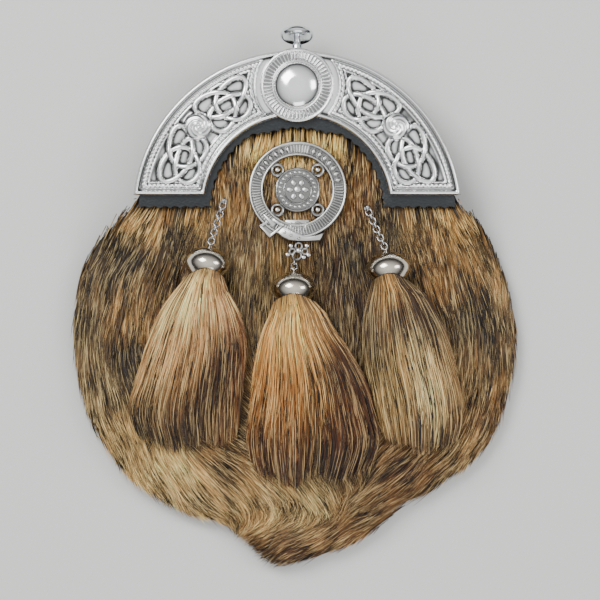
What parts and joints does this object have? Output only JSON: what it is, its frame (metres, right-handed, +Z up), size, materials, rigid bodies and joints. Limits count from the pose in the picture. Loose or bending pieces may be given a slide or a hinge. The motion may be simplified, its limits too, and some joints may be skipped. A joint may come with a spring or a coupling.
{
  "type": "sporran pouch",
  "caption": "Fur-fronted dress pouch with a metal arch, a knob, a round pierced badge and three hair tassels under domed caps hung on chains, lying on its back.",
  "frame": {"origin": "middle of the bounding box's floor, under the pouch as it lies on its back", "axes": "+Z up out of the front, +Y toward the metal arch, +X to the right of the front as it is seen"},
  "size_m": [0.2266, 0.2718, 0.0526],
  "materials": {
    "pouch_leather": "matt",
    "loop_leather": "matt",
    "fur": "long animal hair",
    "black_leather": "semi-matt",
    "silver": "polished cast relief",
    "pewter": "antiqued",
    "dark_nickel": "dark polished",
    "chain_steel": "bright",
    "tassel_hair": "long animal hair"
  },
  "bodies": {
    "root": {"back_panel": "pouch_leather", "badge": "pewter", "bell_centre": "dark_nickel", "bell_left": "dark_nickel", "bell_right": "dark_nickel", "belt_loop_left": "loop_leather", "belt_loop_right": "loop_leather", "cantle": "silver", "chain_centre_1": "chain_steel", "chain_centre_2": "chain_steel", "chain_eye_left": "chain_steel", "chain_eye_right": "chain_steel", "chain_left_1": "chain_steel", "chain_left_2": "chain_steel", "chain_left_3": "chain_steel", "chain_left_4": "chain_steel", "chain_left_5": "chain_steel", "chain_left_6": "chain_steel", "chain_left_7": "chain_steel", "chain_left_8": "chain_steel", "chain_left_9": "chain_steel", "chain_right_1": "chain_steel", "chain_right_2": "chain_steel", "chain_right_3": "chain_steel", "chain_right_4": "chain_steel", "chain_right_5": "chain_steel", "chain_right_6": "chain_steel", "chain_right_7": "chain_steel", "chain_right_8": "chain_steel", "chain_right_9": "chain_steel", "front_panel": "pouch_leather", "fur_coat": "fur", "gusset": "pouch_leather", "knob": "silver", "leather_facing": "black_leather", "tassel_centre": "tassel_hair", "tassel_left": "tassel_hair", "tassel_right": "tassel_hair"}
  },
  "joints": []
}
